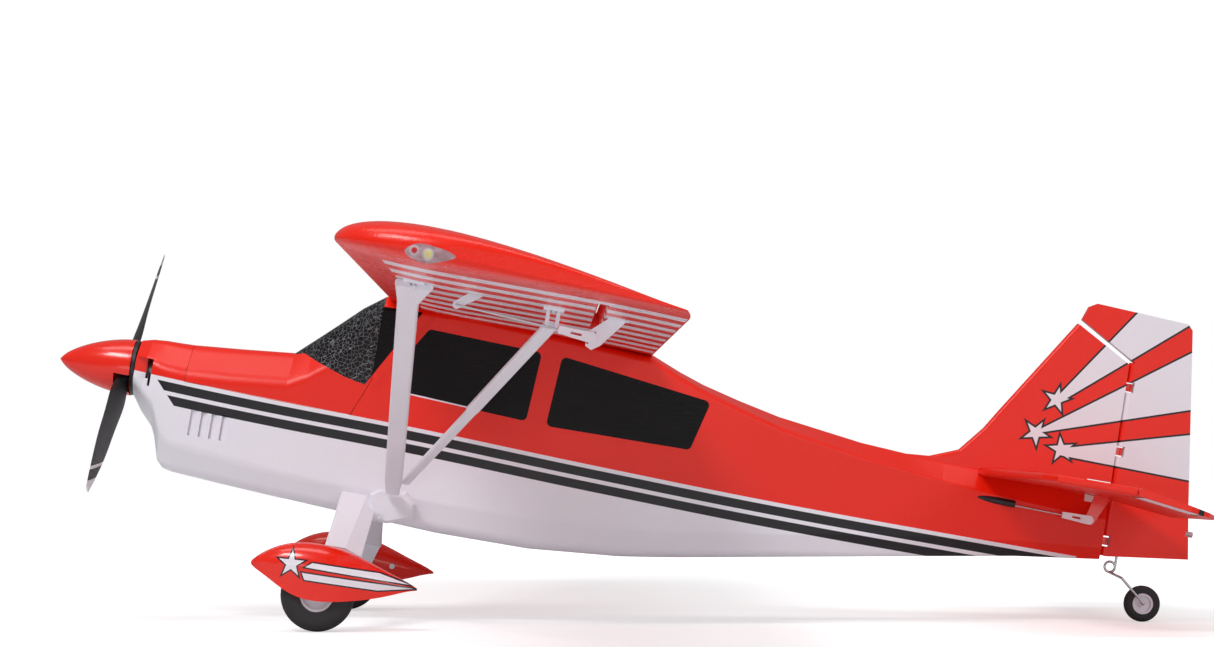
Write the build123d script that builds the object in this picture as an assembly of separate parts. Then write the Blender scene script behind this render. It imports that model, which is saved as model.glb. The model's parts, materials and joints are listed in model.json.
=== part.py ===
from build123d import *
import os
from math import asin, atan2, cos, degrees, hypot, pi, radians, sin, sqrt, tan

# A strut-braced high-wing model aeroplane with a tail wheel.
#
# Every piece is modelled in the airframe's own frame, in millimetres: x forward along the
# fuselage datum, y to port, z up, with the origin at the centre of the spinner's back plate.
# place() then sets the whole aeroplane on its three wheels, nose up, on the ground z = 0.

# ---- driving dimensions ---------------------------------------------------------------

WALL = 6.0                      # foam wall of the fuselage
FILM = 0.6                      # window panels let into the foam
GAP = 0.3                       # clearance around a lid or between moving faces

# Wing
SPAN = 1200.0
CHORD = 204.0
WING_NOSE = (-184.8, 85.3)      # leading edge, x and z
WING_TAIL_Z = 73.5              # trailing edge height
WING_THICKNESS = 0.12           # of the chord
UPPER_SHARE = 1.5               # how the thickness lies above and below the chord line
LOWER_SHARE = 0.6
WING_ROOT_Y = 47.5
WING_TIP_Y = 556.0              # where the tip starts to round off
TIP_LIGHT_OUTLINE = [(-227.6, 83.2), (-232.5, 87.0), (-242.0, 87.4), (-255.6, 83.2),
                     (-245.0, 78.9), (-232.0, 79.2)]
TUBE_X, TUBE_Z, TUBE_R = -240.0, 91.0, 5.0
TUBE_HALF = 330.0

# Ailerons and their linkage; the servo arm, pushrod, horn and hinge make a parallelogram
AILERON_Y = (262.0, 531.0)
AILERON_HINGE = (-339.0, 84.4)
AILERON_PIN = (-337.7, 61.7)
AILERON_HORN_Y = 405.0
AILERON_ARM_X = -252.0
AILERON_ARM_Y = 401.9
AILERON_ARM_RISE = 6.3          # the arm's pin is this much higher than the horn's
AILERON_ARM_ELBOW = (-267.5, 80.0)

# Propeller and motor
DOWN_THRUST = 2.3               # degrees
SPINNER_R, SPINNER_LENGTH = 21.5, 57.9
PROP_R = 142.0
PROP_X = 6.0
PROP_PITCH = 140.0
PROP_REST = 49.0                # degrees the lower blade leans to port
BLADE_SHARES = (0.1, 0.18, 0.3, 0.44, 0.6, 0.76, 0.88, 0.95, 1.0)
MOTOR_BACK = -33.0
MOTOR_FEET = [(11.0, 11.0), (-11.0, 11.0), (11.0, -11.0), (-11.0, -11.0)]

# Fuselage stations
COWL_BACK = -44.0
HATCH_REAR = -183.6
TAIL_POST = -755.5

# Tail surfaces
RUDDER_HINGE_X, RUDDER_NOSE_R = -760.0, 4.0
FIN_HALF = 4.0                  # half thickness of the fin
TAILPLANE_Z, TAILPLANE_HALF, TAILPLANE_HALF_DEPTH = 28.8, 188.0, 3.0
ELEVATOR_HINGE_X, ELEVATOR_NOSE_R = -740.0, 3.0
ELEVATOR_DROOP = 9.0            # degrees, as the aeroplane is parked
ELEVATOR_PIN = (-740.5, 5.6)
ELEVATOR_HORN_Y = 15.5
RUDDER_PIN = (-760.0, -22.0)    # x and y
RUDDER_HORN_Z = 2.0
RUDDER_HINGES_Z = (-8.0, 62.0, 112.0)
ELEVATOR_HINGES_Y = (48.0, 140.0)
TAIL_ARM_X = -250.0             # where both tail servo arms hold their pushrods

# Wheels
MAIN_AXLE, MAIN_Y, MAIN_R, MAIN_HUB_R, MAIN_WIDTH = (-178.0, -139.0), 140.0, 26.3, 12.0, 19.0
TAIL_AXLE, TAIL_R, TAIL_HUB_R, TAIL_WIDTH = (-794.3, -50.9), 13.9, 8.0, 9.0
AXLE_R = 1.5
WIRE_R = 0.7
PIN_R = 0.6
FIT = 0.06                      # radial clearance of a pin or axle in its hole
CLEVIS_LENGTH, CLEVIS_SLOT = 21.0, 14.5
BRACKET_SCREW_LENGTH, ROOT_SCREW_LENGTH, PANT_SCREW_LENGTH = 6.0, 6.0, 4.0

# ---- outlines, as x and z unless said otherwise ---------------------------------------

# Fuselage frames: x, ridge height, ridge half width, shoulder height, side half width,
# chine height, belly half width, belly height, upper corner radius, lower corner radius
COWL_FRAMES = [
    (-4.0, 21.5, 15.0, 9.0, 29.0, -9.0, 15.0, -20.0, 8.0, 8.0),
    (-13.0, 23.6, 18.0, 7.5, 36.5, -17.0, 19.0, -31.8, 10.0, 9.0),
    (-23.0, 24.3, 20.0, 5.0, 39.5, -26.0, 22.0, -42.0, 12.0, 9.0),
    (-26.5, 24.3, 20.5, 4.0, 40.2, -33.0, 23.0, -49.0, 13.0, 9.0),
    (-32.0, 24.3, 21.0, 3.0, 41.0, -45.0, 26.0, -66.5, 14.0, 10.0),
    (-37.0, 24.4, 21.5, 2.5, 41.5, -50.0, 28.0, -71.4, 15.0, 12.0),
    (COWL_BACK, 24.5, 22.0, 2.0, 42.0, -52.0, 30.0, -73.0, 16.0, 13.0),
]
NOSE_FRAMES = [
    COWL_FRAMES[-1],
    (-80.0, 27.4, 23.0, 4.0, 44.0, -56.0, 33.5, -75.7, 16.0, 13.0),
    (-121.0, 31.2, 24.0, 8.0, 45.4, -60.0, 36.5, -78.3, 15.0, 12.0),
]
WINDSHIELD_FRAMES = [
    NOSE_FRAMES[-1],
    (-135.0, 44.2, 22.0, 15.0, 45.8, -61.0, 37.5, -79.1, 14.0, 12.0),
    (-150.0, 58.0, 23.0, 26.0, 46.2, -61.5, 38.5, -80.0, 14.0, 12.0),
    (-167.0, 73.4, 28.0, 46.0, 46.7, -62.0, 39.5, -81.0, 12.0, 11.0),
    (-184.0, 84.5, 38.0, 76.0, 47.2, -62.0, 40.5, -81.9, 6.0, 10.0),
]
CABIN_FRAMES = [
    WINDSHIELD_FRAMES[-1],
    (-250.0, 83.0, 41.0, 77.0, 47.4, -63.0, 42.0, -85.5, 5.0, 10.0),
    (-320.0, 79.0, 41.0, 73.5, 47.4, -63.0, 42.0, -85.8, 5.0, 10.0),
    (-389.0, 74.3, 34.0, 70.5, 46.4, -59.0, 41.5, -80.3, 5.0, 10.0),
]
TAIL_FRAMES = [
    CABIN_FRAMES[-1],
    (-412.0, 65.4, 24.0, 61.0, 44.9, -57.0, 40.0, -77.0, 5.0, 10.0),
    (-432.0, 58.8, 18.0, 53.8, 43.2, -54.5, 38.0, -74.0, 5.0, 10.0),
    (-462.0, 51.4, 12.0, 44.8, 39.8, -50.0, 34.5, -69.0, 5.0, 9.0),
    (-494.0, 44.5, 9.0, 35.8, 35.6, -45.5, 30.5, -63.6, 4.5, 8.0),
    (-560.0, 35.5, 6.0, 24.5, 27.0, -36.0, 21.5, -52.6, 4.0, 6.0),
    (-625.0, 31.0, 4.5, 16.5, 18.8, -27.0, 13.5, -41.7, 3.0, 4.5),
    (-690.0, 28.6, 3.5, 11.5, 12.0, -19.0, 8.0, -30.9, 2.0, 3.0),
    (TAIL_POST, 27.0, 3.0, 8.0, 7.0, -14.0, 4.5, -22.6, 1.5, 2.0),
]
CAVITY_END = -625.0
LOUVRE_START, LOUVRE_PITCH, LOUVRE_DEPTH, LOUVRE_Z = -53.5, 8.0, 3.0, (-43.5, -24.5)

WINDSHIELD_OUTLINE = [(-121.5, 30.0), (-128.4, 32.0), (-140.8, 26.9), (-162.8, 19.1),
                      (-179.0, 15.7), (-215.5, 81.0), (-184.0, 100.0), (-121.5, 100.0)]
FRONT_WINDOW = [(-220.0, 65.0), (-306.5, 61.5), (-303.0, 8.6), (-213.0, 13.8), (-204.0, 22.0),
                (-204.5, 40.0)]
REAR_WINDOW = [(-322.0, 61.4), (-438.5, 46.0), (-428.4, 7.7), (-318.3, 7.6)]
WINDOW_CORNER_R = 4.0
DOOR_SEAM = [(-186.5, 16.0), (-219.5, 74.0)]     # engraved behind the windscreen
DOOR_SEAM_Y = 46.8

FIN_OUTLINE = [(-560.0, 25.0), (-590.6, 32.7), (-613.7, 34.4), (-635.7, 43.0),
               (-651.9, 62.5), (-661.0, 77.0), (-711.5, 154.4), (TAIL_POST, 129.6),
               (TAIL_POST, 20.0), (-560.0, 20.0)]
RUDDER_OUTLINE = [(-714.4, 158.0), (-718.4, 168.8), (-724.1, 172.1), (-796.7, 167.9),
                  (-800.5, 163.7), (-818.1, 30.2), (-824.4, -11.7), (RUDDER_HINGE_X, -19.6),
                  (RUDDER_HINGE_X, 131.4)]
# Plan outlines, as x and y
TAILPLANE_OUTLINE = [(-653.0, 34.0), (-672.0, 166.0), (-680.0, 183.0),
                     (-697.0, TAILPLANE_HALF), (-735.9, TAILPLANE_HALF)]
ELEVATOR_OUTLINE = [(ELEVATOR_HINGE_X, 8.2), (ELEVATOR_HINGE_X, TAILPLANE_HALF),
                    (-776.0, TAILPLANE_HALF), (-790.0, 184.0), (-797.0, 172.0),
                    (-800.5, 28.5), (-757.0, 8.2)]

# Wheel pant frames: x, centre height, half width, half height
PANT_FRAMES = [
    (-127.3, -123.8, 1.0, 1.0),
    (-131.0, -122.9, 5.5, 4.4),
    (-140.0, -121.6, 10.6, 9.9),
    (-153.0, -121.9, 14.2, 16.1),
    (-172.0, -123.0, 16.3, 19.9),
    (-190.0, -123.1, 15.9, 18.5),
    (-211.5, -123.6, 12.3, 13.2),
    (-232.0, -123.6, 6.8, 6.2),
    (-247.2, -124.0, 0.9, 0.7),
]
PANT_FLOOR = 0.88               # width of the pant's flat underside, as a share of its width
PANT_SCREW = (-213.5, MAIN_Y - 11.7, -123.7)

# Struts: top and bottom points, x, y and z, on the port side
FRONT_STRUT = ((-224.5, 410.0, 75.4), (-213.6, 55.0, -62.5))
REAR_STRUT = ((-312.0, 395.0, 66.0), (-217.6, 55.0, -57.6))
STRUT_DEPTH = 4.6
# Widths along a strut: distance from its top, width, and how far its middle lies aft
FRONT_WIDTHS = [(0.0, 24.0, 0.0), (26.0, 13.8, -2.7), (350.0, 13.2, 0.0), (374.0, 10.5, 0.0)]
REAR_WIDTHS = [(0.0, 9.0, 0.0), (176.0, 9.0, 0.0), (178.0, 7.4, 0.4), (352.0, 6.6, 0.0)]
ROOT_OUTLINE = [(-197.0, -64.0), (-203.0, -60.0), (-212.0, -58.4), (-224.0, -58.4),
                (-231.6, -66.0), (-231.4, -78.0), (-213.0, -84.0), (-200.5, -83.0)]
ROOT_Y = 57.0
ROOT_SCREW = (-207.0, ROOT_Y, -79.5)

# Undercarriage leg: its outer face slopes from the belly to the pant; x of its edges and crease
LEG_TOP, LEG_FOOT = (34.0, -59.4), (122.0, -104.0)
LEG_FRONT_X, LEG_BACK_X = -175.5, -202.8
LEG_TOP_CREASE_X, LEG_FOOT_CREASE_X = -195.4, -190.5
LEG_TAB_Y = (118.5, 122.0)


# ---- the parked stance ----------------------------------------------------------------

def parked_angle():
    """Nose-up angle, in degrees, of the aeroplane standing on its main and tail wheels."""
    run = MAIN_AXLE[0] - TAIL_AXLE[0]
    rise = TAIL_AXLE[1] - MAIN_AXLE[1]
    return degrees(atan2(rise, run) + asin((MAIN_R - TAIL_R) / hypot(run, rise)))


STANCE = parked_angle()


def stance_x(x, z):
    """Distance forward of an airframe point once the nose is up."""
    return x * cos(radians(STANCE)) - z * sin(radians(STANCE))


def stance_z(x, z):
    """Height of an airframe point once the nose is up."""
    return x * sin(radians(STANCE)) + z * cos(radians(STANCE))


SPINNER_TIP = (SPINNER_LENGTH * cos(radians(DOWN_THRUST)),
               -SPINNER_LENGTH * sin(radians(DOWN_THRUST)))
FOREMOST = stance_x(*SPINNER_TIP)
REARMOST = min(stance_x(x, z) for x, z in RUDDER_OUTLINE)
GROUND_SHIFT = (-(FOREMOST + REARMOST) / 2, 0.0, MAIN_R - stance_z(*MAIN_AXLE))


def place(part):
    """Move a part from the airframe's frame to its place on the ground."""
    return Pos(*GROUND_SHIFT) * Rot(0, -STANCE, 0) * part


# ---- shared shapes --------------------------------------------------------------------

def side_prism(outline, y_low, y_high, corner_r=0.0):
    """Extrude an (x, z) outline sideways, its corners rounded if a radius is given."""
    points = [(x, y_low, z) for x, z in outline]
    if corner_r:
        edges = FilletPolyline(*points, radius=corner_r, close=True)
    else:
        edges = Polyline(*points, close=True)
    return extrude(make_face(edges), amount=y_high - y_low, dir=(0, 1, 0))


def plan_prism(outline, z_low, z_high):
    """Extrude an (x, y) outline upwards."""
    face = make_face(Polyline(*[(x, y, z_low) for x, y in outline], close=True))
    return extrude(face, amount=z_high - z_low, dir=(0, 0, 1))


def block(x_span, y_span, z_span):
    """A box from its low and high x, y and z."""
    size = [high - low for low, high in (x_span, y_span, z_span)]
    centre = [(high + low) / 2 for low, high in (x_span, y_span, z_span)]
    return Pos(*centre) * Box(*size)


def rod(start, end, radius):
    """A round bar between two points."""
    run = Vector(*end) - Vector(*start)
    low = (Align.CENTER, Align.CENTER, Align.MIN)
    return Plane(origin=start, z_dir=run) * Cylinder(radius, run.length, align=low)


def both_sides(part):
    """A part and its mirror image on the other side of the aeroplane."""
    return part, mirror(part, about=Plane.XZ)


def turned(profile):
    """Revolve an (x, r) outline about the x axis."""
    face = make_face(Polyline(*[(x, 0, r) for x, r in profile], close=True))
    return revolve(face, axis=Axis.X)


def frame_face(frame, inset=0.0):
    """One cross-section of the fuselage, or the same section a wall thickness inside it."""
    x, ridge_z, ridge_y, shoulder_z, side_y, chine_z, belly_y, belly_z, upper_r, lower_r = frame
    right = [(max(ridge_y - inset / 2, 1.5), ridge_z - inset),
             (side_y - inset, shoulder_z - inset * 0.4),
             (side_y - inset, chine_z + inset * 0.4),
             (max(belly_y - inset / 2, 2.0), belly_z + inset)]
    corners = right + [(-y, z) for y, z in reversed(right)]
    upper = max(upper_r - inset, upper_r / 2)
    lower = max(lower_r - inset, lower_r / 2)
    radii = [upper, upper, lower, lower, lower, lower, upper, upper]
    outline = FilletPolyline(*corners, radius=radii, close=True)
    return Plane(origin=(x, 0, 0), x_dir=(0, 1, 0), z_dir=(1, 0, 0)) * make_face(outline)


def frame_loft(frames, inset=0.0, ruled=False):
    """The solid through a run of fuselage frames."""
    return loft([frame_face(frame, inset) for frame in frames], ruled=ruled)


def lever(pivot, tip, axis, pivot_r, tip_r, thickness):
    """A flat tapered arm, centred on its pivot-to-tip line, square to its axis."""
    run = Vector(*tip) - Vector(*pivot)
    sides = [(0, -pivot_r), (run.length, -tip_r), (run.length, tip_r), (0, pivot_r)]
    face = make_face(Polyline(*sides, close=True)) + Circle(pivot_r) + Pos(run.length, 0) * Circle(tip_r)
    plane = Plane(origin=pivot, x_dir=run, z_dir=axis)
    return plane * extrude(face, amount=thickness / 2, both=True)


def screw(head, direction, length=8.0):
    """A small pan-head screw with a cross recess; head is the centre of its bearing face."""
    head_r, head_height, shank_r = 2.2, 1.4, 0.9
    body = Pos(0, 0, head_height / 2) * Cylinder(head_r, head_height)
    body += Pos(0, 0, -length / 2) * Cylinder(shank_r, length)
    for size in ((2.4, 0.5, 1.0), (0.5, 2.4, 1.0)):
        body -= Pos(0, 0, head_height) * Box(*size)
    return Plane(origin=head, z_dir=direction) * body


# ---- wing -----------------------------------------------------------------------------

def chord_z(x):
    """Height of the wing's chord line at x."""
    drop = (WING_NOSE[1] - WING_TAIL_Z) / CHORD
    return WING_NOSE[1] - (WING_NOSE[0] - x) * drop


def half_thickness(fraction):
    """The four-digit thickness law, in millimetres, at a fraction of the chord."""
    polynomial = (0.2969 * sqrt(fraction) - 0.1260 * fraction - 0.3516 * fraction ** 2
                  + 0.2843 * fraction ** 3 - 0.1015 * fraction ** 4)
    return 5 * WING_THICKNESS * polynomial * CHORD


def lower_depth(fraction):
    """Depth of the lower skin under the chord line: round at the nose, flat towards the tail."""
    return LOWER_SHARE * (1 - fraction) * half_thickness(fraction)


def wing_section(y, nose_trim=0.0, tail_trim=0.0, scale=1.0, lift=0.0):
    """The wing's section at y: nose and tail trimmed back, thickness scaled, nose lifted."""
    steps = 12
    nose_x = WING_NOSE[0] - nose_trim
    chord = CHORD - nose_trim - tail_trim
    fractions = [(1 - cos(radians(180 * i / steps / 2))) for i in range(steps + 1)]
    points = []
    for fraction in reversed(fractions):
        x = nose_x - fraction * chord
        z = chord_z(x) + lift * (1 - fraction / 2) + scale * UPPER_SHARE * half_thickness(fraction)
        points.append((x, y, z))
    for fraction in fractions[1:]:
        x = nose_x - fraction * chord
        z = chord_z(x) + lift * (1 - fraction / 2) - scale * lower_depth(fraction)
        points.append((x, y, z))
    return make_face(Spline(*points) + Line(points[-1], points[0]))


def wing_blank():
    """The port wing half before anything is cut from it."""
    panel = extrude(wing_section(WING_ROOT_Y), amount=WING_TIP_Y - WING_ROOT_Y, dir=(0, 1, 0))
    rounding = []
    for angle in (0, 25, 45, 60, 73, 84):
        fade = 1 - cos(radians(angle))
        y = WING_TIP_Y + (SPAN / 2 - WING_TIP_Y) * sin(radians(angle)) / sin(radians(84))
        scale = sqrt(cos(radians(angle)))
        rounding.append(wing_section(y, 70.0 * fade, 4.0 * fade, scale, 6.0 * (1 - scale)))
    return panel + loft(rounding)


def aileron_outline(hinge_gap, bevel):
    """Side outline of what lies behind the hinge line, its front face bevelled by an angle."""
    hinge_x, hinge_z = AILERON_HINGE
    low = 60.0
    foot_x = hinge_x - hinge_gap - (hinge_z - low) * tan(radians(bevel))
    return [(hinge_x - hinge_gap, 120.0), (hinge_x - hinge_gap, hinge_z), (foot_x, low),
            (-400.0, low), (-400.0, 120.0)]


def arm_pivot():
    """Pivot of the aileron servo's arm: the hinge, carried along by the pushrod's length."""
    run = AILERON_ARM_X - AILERON_PIN[0]
    return AILERON_HINGE[0] + run, AILERON_HINGE[1] + AILERON_ARM_RISE


ARM_PIVOT = arm_pivot()
ARM_TIP = (AILERON_ARM_X, AILERON_PIN[1] + AILERON_ARM_RISE)


def servo(shaft_top, axis, length_direction):
    """A micro servo: case, mounting ears, boss and splined shaft; its axis is the shaft's."""
    case = Pos(5.5, 0, -15.0) * Box(22.8, 12.0, 22.0)
    ears = Pos(5.5, 0, -9.0) * Box(32.0, 12.0, 2.0)
    boss = Pos(0, 0, -2.6) * Cylinder(5.5, 2.8)
    shaft = Pos(0, 0, -0.6) * Cylinder(2.3, 1.4)
    body = case + ears + boss + shaft
    return Plane(origin=shaft_top, x_dir=length_direction, z_dir=axis) * body


def aileron_servo():
    return servo((ARM_PIVOT[0], AILERON_ARM_Y - 0.9, ARM_PIVOT[1]), (0, 1, 0), (-1, 0, 0))


def wing_half(blank):
    """The port wing with its aileron bay, servo pocket, arm slot and tube socket."""
    wing = blank
    bay = side_prism(aileron_outline(-0.01, -14.0), AILERON_Y[0], AILERON_Y[1])
    wing -= bay
    wing -= aileron_servo()
    wing -= block((ARM_PIVOT[0] - 21, ARM_PIVOT[0] + 12), (AILERON_ARM_Y - 1.4, AILERON_HORN_Y + 2.0),
                  (60, ARM_PIVOT[1] + 5.0))
    wing -= rod((TUBE_X, 0, TUBE_Z), (TUBE_X, TUBE_HALF, TUBE_Z), TUBE_R)
    wing -= tip_light_room()
    for x, y, _ in (FRONT_STRUT[0], REAR_STRUT[0]):
        wing -= screw(bracket_screw(x, y), (0, 0, -1), BRACKET_SCREW_LENGTH)
    return wing


def tip_light_room():
    """The almond-shaped pocket in the wingtip that its lamp fills."""
    rim = Spline(*[(x, SPAN / 2 - 14.0, z) for x, z in TIP_LIGHT_OUTLINE], periodic=True)
    return extrude(make_face(rim), amount=16.0, dir=(0, 1, 0))


def tip_light(blank):
    """Clear wingtip lens, let into the tip's nose."""
    return blank & tip_light_room()


def aileron(blank):
    """The port aileron, hinged along its upper skin."""
    reach = side_prism(aileron_outline(0.75, 24.0), AILERON_Y[0] + 0.8, AILERON_Y[1] - 0.8)
    return (blank & reach) - horn_base()


def horn_base():
    """Foot of the aileron horn, let into the aileron's underside."""
    y = AILERON_HORN_Y
    return block((-359.0, -346.0), (y - 4.0, y + 4.0), (chord_z(-352.0) - 1.2, chord_z(-352.0) + 1.5))


def aileron_horn():
    """White nylon horn: a foot on the aileron and a blade forward to the pin, with spare holes."""
    y, (pin_x, pin_z) = AILERON_HORN_Y, AILERON_PIN
    foot_z = chord_z(-352.0)
    blade = side_prism([(-347.0, foot_z), (-358.0, foot_z), (-344.0, pin_z - 4.0),
                        (pin_x - 1.0, pin_z - 7.6), (pin_x + 3.0, pin_z - 5.5),
                        (pin_x + 3.0, pin_z + 3.0)], y - 0.8, y + 0.8)
    horn = blade + horn_base()
    for step in (0.0, 4.2, -4.2):
        across = Vector(-0.55, 0, 1).normalized() * step
        centre = Vector(pin_x, y, pin_z) + across
        horn -= rod(centre - Vector(0, 3, 0), centre + Vector(0, 3, 0), PIN_R + FIT)
    return horn


def servo_arm(pivot, tip, axis, elbow=None):
    """A servo arm with a boss at the pivot, a drilled tip and perhaps an elbow between them."""
    if elbow is None:
        arm = lever(pivot, tip, axis, 3.6, 2.4, 1.6)
    else:
        arm = lever(pivot, elbow, axis, 3.6, 3.2, 1.6) + lever(elbow, tip, axis, 3.2, 2.4, 1.6)
    direction = Vector(*axis)
    arm -= rod(Vector(*tip) - direction * 2, Vector(*tip) + direction * 2, PIN_R + FIT)
    return arm


def aileron_servo_arm():
    """The arm leaves the wing aft of its pin, so it is cranked."""
    pivot, tip, elbow = [(x, AILERON_ARM_Y, z) for x, z in (ARM_PIVOT, ARM_TIP, AILERON_ARM_ELBOW)]
    return servo_arm(pivot, tip, (0, 1, 0), elbow)


def clevis(pin, back, axis):
    """A forked nylon clevis whose pin lies along axis; back points along the pushrod."""
    length, fork_half, cheek = CLEVIS_LENGTH, 1.1, 1.1
    sides = [(0, -3.4), (length, -2.3), (length, 2.3), (0, 3.4)]
    face = make_face(Polyline(*sides, close=True)) + Circle(3.4)
    fork = extrude(face, amount=fork_half + cheek, both=True)
    fork -= Pos(CLEVIS_SLOT / 2 - 3.0, 0, 0) * Box(CLEVIS_SLOT + 6.0, 10.0, 2 * fork_half)
    fork -= Pos(CLEVIS_SLOT / 2 + 2.5, 0, 0) * Box(7.0, 1.6, 10.0)
    cross = Cylinder(PIN_R, 2 * (fork_half + cheek))
    return Plane(origin=pin, x_dir=back, z_dir=axis) * (fork + cross)


def pushrod(arm_pin, horn_pin, axis, into_arm):
    """A steel wire from a servo arm to a clevis, its front end bent through the arm."""
    start, end = Vector(*arm_pin), Vector(*horn_pin)
    run = (start - end).normalized()
    wire = rod(start, end + run * (CLEVIS_SLOT + 1.0), WIRE_R) + Pos(*start) * Sphere(WIRE_R)
    wire += rod(start, start + Vector(*into_arm), PIN_R)
    return wire + clevis(horn_pin, run, axis)


def aileron_pushrod():
    y = AILERON_HORN_Y
    return pushrod((ARM_TIP[0], y, ARM_TIP[1]), (AILERON_PIN[0], y, AILERON_PIN[1]), (0, 1, 0),
                   (0, AILERON_ARM_Y - 1.2 - y, 0))


def wing_tube():
    return rod((TUBE_X, -TUBE_HALF, TUBE_Z), (TUBE_X, TUBE_HALF, TUBE_Z), TUBE_R) - rod(
        (TUBE_X, -TUBE_HALF, TUBE_Z), (TUBE_X, TUBE_HALF, TUBE_Z), TUBE_R - 1.0)


# ---- fuselage -------------------------------------------------------------------------

def hull_segments(inset=0.0):
    """The fuselage's form behind the cowl, or the same form inset, as solids end to end."""
    runs = (NOSE_FRAMES, WINDSHIELD_FRAMES, CABIN_FRAMES, TAIL_FRAMES)
    return [frame_loft(frames, inset, ruled=True) for frames in runs]


def cavity():
    """The hollow inside the foam, from the firewall to the tail."""
    aft = [frame for frame in TAIL_FRAMES if frame[0] >= CAVITY_END]
    runs = (NOSE_FRAMES, WINDSHIELD_FRAMES, CABIN_FRAMES, aft)
    return [frame_loft(frames, WALL, ruled=True) for frames in runs]


def centre_section():
    """The wing's middle, moulded in one with the cabin roof."""
    return extrude(wing_section(-WING_ROOT_Y), amount=2 * WING_ROOT_Y, dir=(0, 1, 0))


def hatch_reach(clearance):
    """The region above the battery bay that lifts off, less a clearance at its seams."""
    front, rear = COWL_BACK - GAP - clearance, HATCH_REAR + clearance
    outline = [(front, -4.5 + clearance), (-172.0 + clearance, -8.6 + clearance),
               (rear, 20.0), (rear, 110.0), (front, 110.0)]
    return side_prism(outline, -60, 60)


def cooling_louvres():
    """Four wedge-shaped louvres sunk into each side of the nose."""
    cuts = []
    for index in range(4):
        x = LOUVRE_START - LOUVRE_PITCH * index
        skin_y = 42.7 + 0.4 * index
        wedge = [(x, skin_y - LOUVRE_DEPTH), (x, skin_y + 2.0), (x - 6.8, skin_y + 2.0),
                 (x - 5.6, skin_y + 0.2)]
        groove = plan_prism(wedge, *LOUVRE_Z)
        cuts += both_sides(groove)
    return cuts


def door_seams():
    """Two parallel lines engraved in each side behind the windscreen."""
    (low_x, low_z), (high_x, high_z) = DOOR_SEAM
    cuts = []
    for aft in (0.0, 3.0):
        outline = [(low_x - aft, low_z), (low_x - aft - 0.7, low_z), (high_x - aft - 0.7, high_z),
                   (high_x - aft, high_z)]
        cuts += both_sides(side_prism(outline, DOOR_SEAM_Y, 60))
    return cuts


def fuselage(hull, hollow, panels):
    """The foam fuselage: shell, open battery bay, tail slots and holes."""
    shells = [outer - inner for outer, inner in zip(hull, hollow)]
    cabin_roof = centre_section() - hollow[2] - hollow[3]
    shell = shells[0] + shells[1] + (shells[2] + cabin_roof) + shells[3]
    for cut in [hatch_reach(0.0), *cooling_louvres(), *door_seams(), *panels]:
        shell -= cut
    shell -= rod((TUBE_X, -60, TUBE_Z), (TUBE_X, 60, TUBE_Z), TUBE_R)
    shell -= tailplane_plate()
    shell -= joiner_slot()
    shell -= side_prism(FIN_OUTLINE, -FIN_HALF, FIN_HALF)
    shell -= hinge_leaf_rudder(RUDDER_HINGES_Z[0])
    for sleeve_hole in sleeve_cores(SLEEVE_R):
        shell -= sleeve_hole
    return shell


def window(hull, outline):
    """The two thin panels of one cabin window, let flush into the sides of the hull."""
    inner_face = [(-190.0, 47.2 - FILM), (-320.0, 47.4 - FILM), (-389.0, 46.4 - FILM),
                  (-412.0, 44.9 - FILM), (-440.0, 42.3 - FILM)]
    strip = plan_prism(inner_face + [(-440.0, 60.0), (-190.0, 60.0)], 0, 70)
    strip &= side_prism(outline, 0, 60, WINDOW_CORNER_R)
    panel = (hull[2] & strip) + (hull[3] & strip)
    return both_sides(panel)


def windscreen(hull):
    """The whole windscreen: a thin sheet that wraps the hull inside its side outline."""
    inside = frame_loft(WINDSHIELD_FRAMES, 2 * FILM, ruled=True)
    return (hull[1] - inside) & side_prism(WINDSHIELD_OUTLINE, -60, 60)


def quarter_light(hull):
    """The two rear corners of the windscreen, which stay on the fuselage."""
    strip = plan_prism([(HATCH_REAR, 47.2 - FILM), (-216.0, 47.3 - FILM), (-216.0, 60.0),
                        (HATCH_REAR, 60.0)], 0, 76.5)
    strip &= side_prism(WINDSHIELD_OUTLINE, 0, 60)
    return both_sides((hull[1] & strip) + (hull[2] & strip))


def battery_hatch(hull, hollow, glass):
    lid = (hull[0] - hollow[0]) + (hull[1] - hollow[1])
    return (lid & hatch_reach(GAP)) - glass


def cowl():
    """The nose cowl: a thin shell with a round motor opening and two cheek inlets."""
    outer = frame_loft(COWL_FRAMES, ruled=True)
    inner_frames = COWL_FRAMES[1:]
    inner = frame_loft(inner_frames, 2.6, ruled=True)
    shell = outer - inner
    shell -= Rot(0, DOWN_THRUST, 0) * rod((-20, 0, 0), (5, 0, 0), 19.0)
    for side in (-1, 1):
        shell -= Pos(-8.0, side * 33.0, 1.0) * Box(20.0, 9.0, 15.0)
        shell -= Pos(-17.4, side * 32.0, -2.0) * Box(2.0, 16.0, 20.0)
    return shell


# ---- motor, propeller and spinner: modelled on the x axis, then tilted to the thrust line --

def thrust(part):
    return Rot(0, DOWN_THRUST, 0) * part


def motor_mount():
    """Plywood firewall with four standoffs that carry the motor."""
    plate = frame_face(COWL_FRAMES[-1], WALL)
    wall = Pos(-2.0, 0, 0) * extrude(plate, amount=-4.0)
    mount = wall
    for y, z in MOTOR_FEET:
        mount += rod((COWL_BACK - 3.0, y, z), (MOTOR_BACK + 1.0, y, z), 3.0)
    return mount - thrust(motor_stator())


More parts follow.
